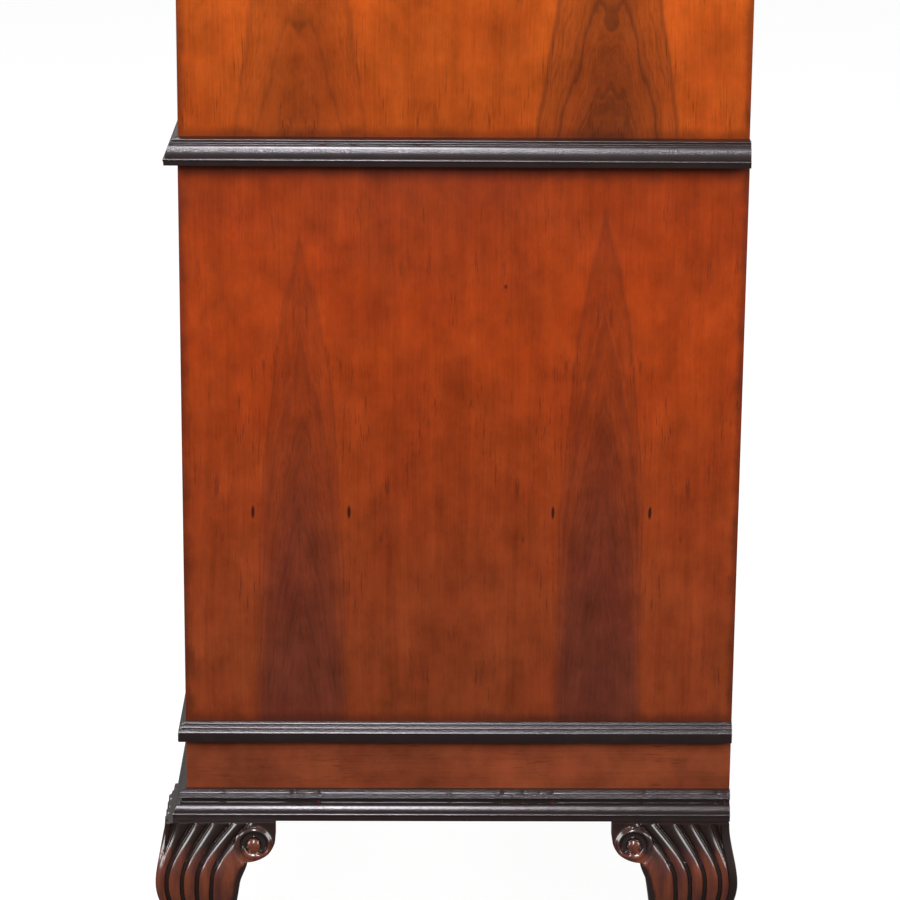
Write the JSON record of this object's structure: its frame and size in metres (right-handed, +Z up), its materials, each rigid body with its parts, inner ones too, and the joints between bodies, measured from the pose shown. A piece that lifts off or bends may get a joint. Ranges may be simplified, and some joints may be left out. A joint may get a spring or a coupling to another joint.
{
  "type": "tall chest of drawers",
  "caption": "Chest-on-chest on short carved cabriole legs: two cases with a waist moulding between them, sliding drawers with swinging bail pulls, a plinth and a cornice.",
  "frame": {"origin": "on the floor, at the bottom centre of the whole chest's box", "axes": "+Z up, the drawers open towards -Y, +X is the right-hand side as seen from the front"},
  "size_m": [0.998, 0.5497, 1.4533],
  "materials": {
    "figured_veneer": "polished figured walnut veneer, red-brown to orange, book-matched on the sides",
    "plinth_veneer": "polished red-brown veneer",
    "dark_moulding": "nearly black polished moulding, edges rubbed to red-brown",
    "carved_wood": "dark red-brown carved wood, darker in the grooves",
    "case_wood": "plain secondary wood, thin finish",
    "drawer_wood": "pale secondary wood, unpolished",
    "back_panel": "plain panel, unfinished",
    "aged_brass": "aged brass, worn bright on the high spots"
  },
  "bodies": {
    "root": {"base_moulding": "dark_moulding", "cornice_moulding": "dark_moulding", "front_leg_left": "carved_wood", "front_leg_right": "carved_wood", "lower_back_panel": "back_panel", "lower_bottom_board": "case_wood", "lower_dust_board_1": "case_wood", "lower_dust_board_2": "case_wood", "lower_side_left": "figured_veneer", "lower_side_right": "figured_veneer", "lower_top_board": "case_wood", "plinth_cap_moulding": "dark_moulding", "plinth_frame": "plinth_veneer", "rear_leg_left": "carved_wood", "rear_leg_right": "carved_wood", "top_board": "figured_veneer", "upper_back_panel": "back_panel", "upper_bottom_board": "case_wood", "upper_dust_board_1": "case_wood", "upper_dust_board_2": "case_wood", "upper_side_left": "figured_veneer", "upper_side_right": "figured_veneer", "upper_top_rail": "figured_veneer", "waist_moulding": "dark_moulding"},
    "upper_drawer_1": {"upper_drawer_1_front": "figured_veneer", "upper_drawer_1_box": "drawer_wood", "upper_drawer_1_pull_left": "aged_brass", "upper_drawer_1_pull_right": "aged_brass"},
    "upper_drawer_1_bail_left": {"upper_drawer_1_bail_left": "aged_brass"},
    "upper_drawer_1_bail_right": {"upper_drawer_1_bail_right": "aged_brass"},
    "upper_drawer_2": {"upper_drawer_2_front": "figured_veneer", "upper_drawer_2_box": "drawer_wood", "upper_drawer_2_pull_left": "aged_brass", "upper_drawer_2_pull_right": "aged_brass"},
    "upper_drawer_2_bail_left": {"upper_drawer_2_bail_left": "aged_brass"},
    "upper_drawer_2_bail_right": {"upper_drawer_2_bail_right": "aged_brass"},
    "upper_drawer_3": {"upper_drawer_3_front": "figured_veneer", "upper_drawer_3_box": "drawer_wood", "upper_drawer_3_pull_left": "aged_brass", "upper_drawer_3_pull_right": "aged_brass"},
    "upper_drawer_3_bail_left": {"upper_drawer_3_bail_left": "aged_brass"},
    "upper_drawer_3_bail_right": {"upper_drawer_3_bail_right": "aged_brass"},
    "lower_drawer_1": {"lower_drawer_1_front": "figured_veneer", "lower_drawer_1_box": "drawer_wood", "lower_drawer_1_pull_left": "aged_brass", "lower_drawer_1_pull_right": "aged_brass"},
    "lower_drawer_1_bail_left": {"lower_drawer_1_bail_left": "aged_brass"},
    "lower_drawer_1_bail_right": {"lower_drawer_1_bail_right": "aged_brass"},
    "lower_drawer_2": {"lower_drawer_2_front": "figured_veneer", "lower_drawer_2_box": "drawer_wood", "lower_drawer_2_pull_left": "aged_brass", "lower_drawer_2_pull_right": "aged_brass"},
    "lower_drawer_2_bail_left": {"lower_drawer_2_bail_left": "aged_brass"},
    "lower_drawer_2_bail_right": {"lower_drawer_2_bail_right": "aged_brass"},
    "lower_drawer_3": {"lower_drawer_3_front": "figured_veneer", "lower_drawer_3_box": "drawer_wood", "lower_drawer_3_pull_left": "aged_brass", "lower_drawer_3_pull_right": "aged_brass"},
    "lower_drawer_3_bail_left": {"lower_drawer_3_bail_left": "aged_brass"},
    "lower_drawer_3_bail_right": {"lower_drawer_3_bail_right": "aged_brass"}
  },
  "joints": [
    {"name": "upper_drawer_1_slide", "type": "slide", "parent": "root", "child": "upper_drawer_1", "axis": [0, -1, 0], "range_m": [0, 0.36]},
    {"name": "upper_drawer_1_bail_left_swing", "type": "hinge", "parent": "upper_drawer_1", "child": "upper_drawer_1_bail_left", "pos_m": [-0.21, -0.25035, 1.30913], "axis": [-1, 0, 0], "range_deg": [0, 95]},
    {"name": "upper_drawer_1_bail_right_swing", "type": "hinge", "parent": "upper_drawer_1", "child": "upper_drawer_1_bail_right", "pos_m": [0.21, -0.25035, 1.30913], "axis": [-1, 0, 0], "range_deg": [0, 95]},
    {"name": "upper_drawer_2_slide", "type": "slide", "parent": "root", "child": "upper_drawer_2", "axis": [0, -1, 0], "range_m": [0, 0.36]},
    {"name": "upper_drawer_2_bail_left_swing", "type": "hinge", "parent": "upper_drawer_2", "child": "upper_drawer_2_bail_left", "pos_m": [-0.21, -0.25035, 1.13265], "axis": [-1, 0, 0], "range_deg": [0, 95]},
    {"name": "upper_drawer_2_bail_right_swing", "type": "hinge", "parent": "upper_drawer_2", "child": "upper_drawer_2_bail_right", "pos_m": [0.21, -0.25035, 1.13265], "axis": [-1, 0, 0], "range_deg": [0, 95]},
    {"name": "upper_drawer_3_slide", "type": "slide", "parent": "root", "child": "upper_drawer_3", "axis": [0, -1, 0], "range_m": [0, 0.36]},
    {"name": "upper_drawer_3_bail_left_swing", "type": "hinge", "parent": "upper_drawer_3", "child": "upper_drawer_3_bail_left", "pos_m": [-0.21, -0.25035, 0.94267], "axis": [-1, 0, 0], "range_deg": [0, 95]},
    {"name": "upper_drawer_3_bail_right_swing", "type": "hinge", "parent": "upper_drawer_3", "child": "upper_drawer_3_bail_right", "pos_m": [0.21, -0.25035, 0.94267], "axis": [-1, 0, 0], "range_deg": [0, 95]},
    {"name": "lower_drawer_1_slide", "type": "slide", "parent": "root", "child": "lower_drawer_1", "axis": [0, -1, 0], "range_m": [0, 0.36]},
    {"name": "lower_drawer_1_bail_left_swing", "type": "hinge", "parent": "lower_drawer_1", "child": "lower_drawer_1_bail_left", "pos_m": [-0.21, -0.25035, 0.74163], "axis": [-1, 0, 0], "range_deg": [0, 95]},
    {"name": "lower_drawer_1_bail_right_swing", "type": "hinge", "parent": "lower_drawer_1", "child": "lower_drawer_1_bail_right", "pos_m": [0.21, -0.25035, 0.74163], "axis": [-1, 0, 0], "range_deg": [0, 95]},
    {"name": "lower_drawer_2_slide", "type": "slide", "parent": "root", "child": "lower_drawer_2", "axis": [0, -1, 0], "range_m": [0, 0.36]},
    {"name": "lower_drawer_2_bail_left_swing", "type": "hinge", "parent": "lower_drawer_2", "child": "lower_drawer_2_bail_left", "pos_m": [-0.21, -0.25035, 0.57415], "axis": [-1, 0, 0], "range_deg": [0, 95]},
    {"name": "lower_drawer_2_bail_right_swing", "type": "hinge", "parent": "lower_drawer_2", "child": "lower_drawer_2_bail_right", "pos_m": [0.21, -0.25035, 0.57415], "axis": [-1, 0, 0], "range_deg": [0, 95]},
    {"name": "lower_drawer_3_slide", "type": "slide", "parent": "root", "child": "lower_drawer_3", "axis": [0, -1, 0], "range_m": [0, 0.36]},
    {"name": "lower_drawer_3_bail_left_swing", "type": "hinge", "parent": "lower_drawer_3", "child": "lower_drawer_3_bail_left", "pos_m": [-0.21, -0.25035, 0.39317], "axis": [-1, 0, 0], "range_deg": [0, 95]},
    {"name": "lower_drawer_3_bail_right_swing", "type": "hinge", "parent": "lower_drawer_3", "child": "lower_drawer_3_bail_right", "pos_m": [0.21, -0.25035, 0.39317], "axis": [-1, 0, 0], "range_deg": [0, 95]}
  ]
}
